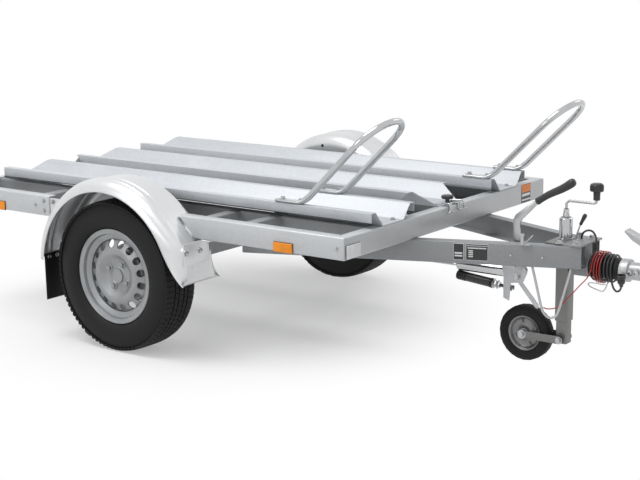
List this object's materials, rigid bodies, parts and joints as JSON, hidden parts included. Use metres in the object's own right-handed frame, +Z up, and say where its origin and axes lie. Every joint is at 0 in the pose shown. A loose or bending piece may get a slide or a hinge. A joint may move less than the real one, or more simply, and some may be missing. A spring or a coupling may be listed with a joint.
{
  "type": "motorcycle trailer",
  "caption": "Two-wheeled motorcycle trailer with trough rails, front wheel hoops, a removable ramp, wings, an overrun ball hitch, a parking brake and a crank-down jockey wheel.",
  "frame": {"origin": "centre of the footprint's bounding box on the floor", "axes": "+X forward towards the ball hitch, +Y to the trailer's left, +Z up"},
  "size_m": [2.9553, 1.63, 0.9152],
  "materials": {
    "galvanised": "hot-dip galvanised",
    "zinc": "zinc plated",
    "wheel_silver": "silver lacquer",
    "tyre_rubber": "matt",
    "flap_rubber": "matt",
    "black_plastic": "satin",
    "black_rubber": "satin",
    "lamp_red": "gloss",
    "cable_black": "satin",
    "cable_red": "satin"
  },
  "bodies": {
    "frame": {"axle": "galvanised", "bellows": "black_rubber", "brake_bracket": "galvanised", "brake_rod": "zinc", "breakaway_coil": "cable_red", "breakaway_lead": "cable_red", "cable_coil": "cable_black", "cable_lead": "cable_black", "cable_plug": "black_plastic", "cable_tail": "cable_black", "coupling_handle": "zinc", "coupling_head": "zinc", "crossbar_front": "galvanised", "crossbar_rear": "galvanised", "drawbar_arm_left": "galvanised", "drawbar_arm_right": "galvanised", "gas_strut": "black_plastic", "handbrake_grip": "black_plastic", "handbrake_lever": "zinc", "inner_beam_left": "galvanised", "inner_beam_right": "galvanised", "jockey_bow": "zinc", "jockey_crank": "zinc", "jockey_crank_knob": "black_plastic", "jockey_mast": "zinc", "mud_flap_left": "flap_rubber", "mud_flap_right": "flap_rubber", "overrun_housing": "galvanised", "ramp_clamp": "zinc", "ramp_clamp_knob": "black_plastic", "side_rail_front_left": "galvanised", "side_rail_front_right": "galvanised", "side_rail_rear_left": "galvanised", "side_rail_rear_right": "galvanised", "spring_cylinder": "zinc", "tail_lamp_left": "lamp_red", "tail_lamp_right": "lamp_red", "wheel_hoop_left": "galvanised", "wheel_hoop_right": "galvanised", "wheel_rail_left": "galvanised", "wheel_rail_right": "galvanised", "wing_bracket_left": "galvanised", "wing_bracket_right": "galvanised", "wing_left": "galvanised", "wing_right": "galvanised", "wing_stay_left": "galvanised", "wing_stay_right": "galvanised"},
    "road_wheel_right": {"tyre_right": "tyre_rubber", "wheel_rim_right": "wheel_silver"},
    "road_wheel_left": {"tyre_left": "tyre_rubber", "wheel_rim_left": "wheel_silver"},
    "ramp": {"loading_ramp": "galvanised"},
    "jockey_post": {"jockey_tube": "zinc"},
    "jockey_arm": {"jockey_fork": "zinc"},
    "jockey_wheel": {"jockey_tyre": "tyre_rubber", "jockey_rim": "zinc"}
  },
  "joints": [
    {"name": "wheel_spin_right", "type": "hinge", "parent": "frame", "child": "road_wheel_right", "pos_m": [-0.46735, -0.7025, 0.289], "axis": [0, 1, 0], "continuous": true},
    {"name": "wheel_spin_left", "type": "hinge", "parent": "frame", "child": "road_wheel_left", "pos_m": [-0.46735, 0.7025, 0.289], "axis": [0, 1, 0], "continuous": true},
    {"name": "ramp_draw", "type": "slide", "parent": "frame", "child": "ramp", "axis": [-1, 0, 0], "range_m": [0, 1.6]},
    {"name": "jockey_raise", "type": "slide", "parent": "frame", "child": "jockey_post", "axis": [0, 0, 1], "range_m": [-0.1, 0.046]},
    {"name": "jockey_fold", "type": "hinge", "parent": "jockey_post", "child": "jockey_arm", "pos_m": [1.02265, 0, 0.104], "axis": [0, 1, 0], "range_deg": [0, 26]},
    {"name": "jockey_spin", "type": "hinge", "parent": "jockey_arm", "child": "jockey_wheel", "pos_m": [0.87265, 0, 0.104], "axis": [0, 1, 0], "continuous": true}
  ]
}
